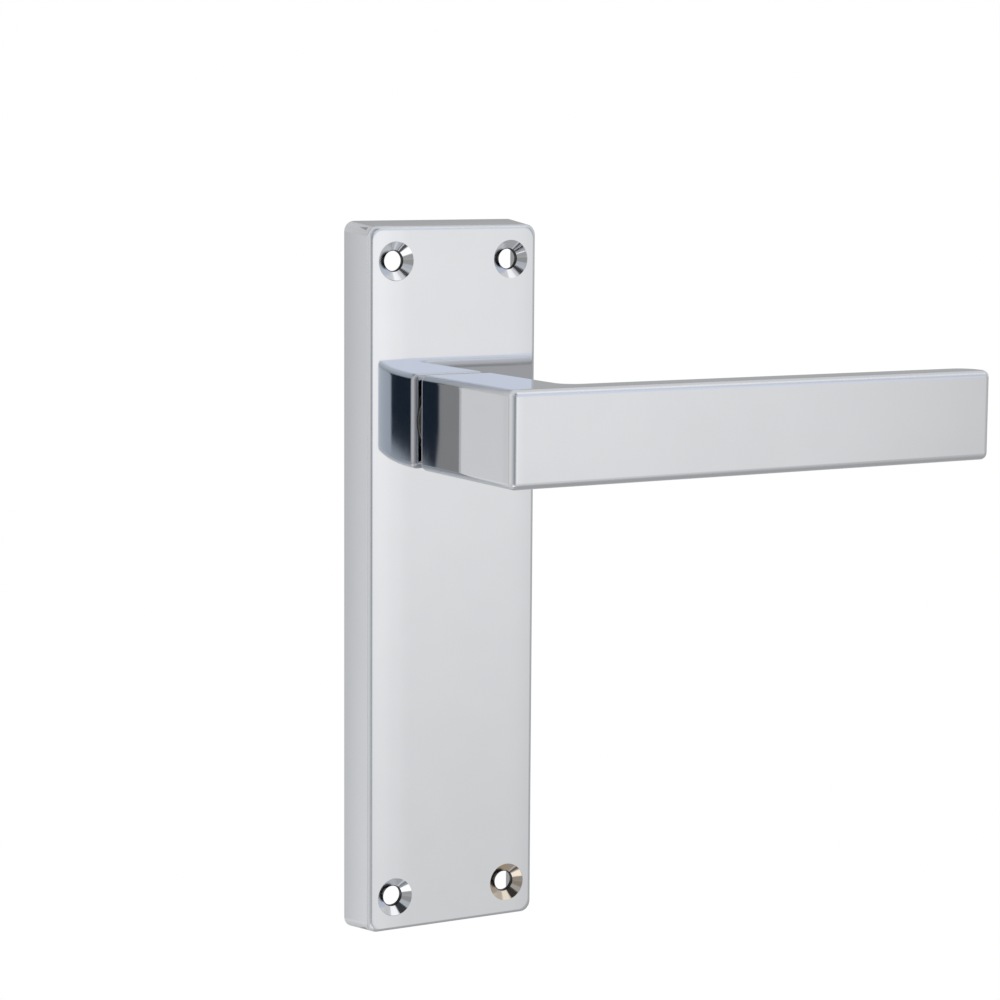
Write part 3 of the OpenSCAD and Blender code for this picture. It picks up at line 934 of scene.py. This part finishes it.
# ---------------------------------------------------------------------------
# Spring driver. Stamped from steel sheet and zinc plated, keyed on the shank's
# flats. Its ear meets the stops, and its bent finger pushes the spring's leg.
key_fit, finger_gap, finger_end, stamped_edge = 0.05, 0.15, 6.23, 0.18
key_r, key_half = shank_width / 2 + key_fit, flats_across / 2 + key_fit
finger_right = -finger_gap - wire / 2
finger_left = finger_right - (driver_end - driver_start)
driver = turned("spring_driver_plate", [
    (0, driver_start), (driver_radius - 0.2, driver_start), (driver_radius, driver_start + 0.2),
    (driver_radius, driver_end - 0.05), (driver_radius - 0.05, driver_end), (0, driver_end)], steps=120)
carve(driver, [
    block("ear", (-ear_width / 2, driver_start + 0.01, 8.0),
          (ear_width / 2, driver_end - 0.01, driver_radius + ear_length), stamped_edge),
    block("finger", (finger_left, driver_start + 0.02, driver_radius - 0.6),
          (finger_right, finger_end, driver_radius + 2.0), stamped_edge, spring_moving),
], "UNION")
double_d, double_d_steps = [], 120
for step in range(double_d_steps):
    angle = 2 * math.pi * step / double_d_steps
    double_d.append((max(-key_half, min(key_half, key_r * math.cos(angle))), key_r * math.sin(angle)))
carve(driver, [stack("key_hole", [(double_d, 2.0), (double_d, 5.0)])], "DIFFERENCE")
finish_edges(driver)
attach(driver, "lever")
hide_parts("spring_driver")
driver_zinc, skin, place_mm = new_finish("driver_zinc")
z_mm = skin.apart(place_mm)[2]
spangle = noise(skin, place_mm, 1.1, detail=3.0, seed=71)
tint = noise(skin, place_mm, 6.0, detail=2.0, seed=73)
rolled = noise(skin, place_mm, 0.3, (1.0, 1.0, 0.05), detail=3.0, seed=75)
worn = noise(skin, place_mm, 1.6, (1.0, 1.0, 0.4), detail=2.0, seed=77)
rub = worn.rise(0.35, 0.75) * z_mm.rise(driver_radius + 0.2, driver_radius + 2.0) * 0.5
colour = skin.blend(spangle, (0.52, 0.54, 0.56, 1.0), (0.68, 0.69, 0.70, 1.0))
colour = skin.blend(tint.rise(0.45, 0.75) * 0.5, colour, (0.62, 0.58, 0.42, 1.0))
colour = skin.blend(rub, colour, (0.30, 0.29, 0.28, 1.0))
finish_surface(skin, colour, 1.0, 0.30 + spangle * 0.14 - rub * 0.08, rolled * 0.006 + spangle * 0.004)
paint_all(driver, driver_zinc)


# ---------------------------------------------------------------------------
# Disc spring. A coned ring pressed from hardened strip and blued by tempering.
# Squeezed by the circlip, it takes up the lever's play.
back_washer_start, back_washer_thickness = groove_high, 0.4
disc_start = back_washer_start + back_washer_thickness
back_washer_width = washer_bore + 5.7
disc_steel, skin, place_mm = new_finish("disc_steel")
x_mm, y_mm, z_mm = skin.apart(place_mm)
disc_spring = washer("disc_spring_cone", washer_bore, back_washer_width - 1.0, disc_start, 0.3, 0.06,
                     disc_steel, rise=0.2)
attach(disc_spring, "lever")
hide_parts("disc_spring")
axis_r = (x_mm * x_mm + z_mm * z_mm) ** 0.5
rings = (axis_r * 26.0).math("SINE")
temper = noise(skin, place_mm, 4.0, detail=3.0, seed=81)
colour = skin.blend(temper.rise(0.35, 0.65), (0.16, 0.18, 0.24, 1.0), (0.24, 0.20, 0.19, 1.0))
finish_surface(skin, colour, 1.0, 0.30 + temper * 0.12, rings * 0.0012)


# ---------------------------------------------------------------------------
# Back washer. A flat steel ring, punched and passivated. It spreads the circlip's
# load over the disc spring.
washer_steel, skin, place_mm = new_finish("washer_steel")
x_mm, y_mm, z_mm = skin.apart(place_mm)
back_washer = washer("back_washer_ring", washer_bore, back_washer_width, back_washer_start,
                     back_washer_thickness, 0.08, washer_steel)
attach(back_washer, "lever")
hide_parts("back_washer")
axis_r = (x_mm * x_mm + z_mm * z_mm) ** 0.5
rubbed = axis_r.rise(washer_bore / 2 + 1.4, washer_bore / 2 + 1.1)
cloud = noise(skin, place_mm, 2.4, detail=4.0, seed=91)
hair = noise(skin, place_mm, 0.2, (1.0, 1.0, 0.06), detail=2.0, seed=93)
colour = skin.blend(cloud.rise(0.35, 0.7), (0.60, 0.58, 0.50, 1.0), (0.66, 0.60, 0.46, 1.0))
colour = skin.blend(rubbed * 0.6, colour, (0.46, 0.46, 0.47, 1.0))
finish_surface(skin, colour, 1.0, 0.34 - rubbed * 0.10 + cloud * 0.1, hair * 0.004)


# ---------------------------------------------------------------------------
# Circlip. Stamped from spring steel and phosphated black. It snaps into the
# shank's groove and holds the whole stack on; two eyes take the pliers.
seat_r, clip_wall, eye_r, eye_hole, eye_angle = 6.4575, 1.9, 1.35, 0.6, 16.0
clip_r = seat_r - 0.01 + clip_wall
clip_edge = 0.08


def clip_disc(name, inner, outer, edge=0.0, angle=None):
    """A ring or a disc as thick as the clip, in the middle or at one of the eyes."""
    x, z = 0.0, 0.0
    if angle is not None:
        x = (seat_r + eye_r) * math.sin(math.radians(angle))
        z = (seat_r + eye_r) * math.cos(math.radians(angle))
    low, high = (groove_low, groove_high) if edge or inner else (groove_low - 1, groove_high + 1)
    profile = [(outer - edge, low), (outer, low + edge), (outer, high - edge), (outer - edge, high)]
    return turned(name, [(inner, low)] + profile + [(inner, high)], x, z, steps=96)


circlip = clip_disc("circlip_ring", seat_r, clip_r, clip_edge)
carve(circlip, [clip_disc("eye", 0.0, eye_r, clip_edge, 180 + s * eye_angle) for s in (-1, 1)], "UNION")
gap = 3 * math.sin(math.radians(eye_angle / 2)) * seat_r
wedge = [(0.0, 0.0), (-gap, -3 * seat_r), (gap, -3 * seat_r)]
carve(circlip, [
    turned("seat", [(0, 0), (seat_r, 0), (seat_r, 3), (0, 3)], steps=96),
    stack("clip_gap", [(wedge, 0.0), (wedge, 3.0)]),
    *(clip_disc("eye_hole", 0.0, eye_hole, 0.0, 180 + s * eye_angle) for s in (-1, 1)),
], "DIFFERENCE")
finish_edges(circlip)
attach(circlip, "lever")
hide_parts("circlip")
clip_black, skin, place_mm = new_finish("clip_black")
crystal = noise(skin, place_mm, 0.14, detail=3.0, seed=101)
bright = noise(skin, place_mm, 1.5, detail=4.0, seed=103).rise(0.55, 0.72)
colour = skin.blend(bright, (0.035, 0.036, 0.038, 1.0), (0.13, 0.13, 0.13, 1.0))
finish_surface(skin, colour, 0.7, 0.56 - bright * 0.2 + crystal * 0.1, crystal * 0.006)
paint_all(circlip, clip_black)
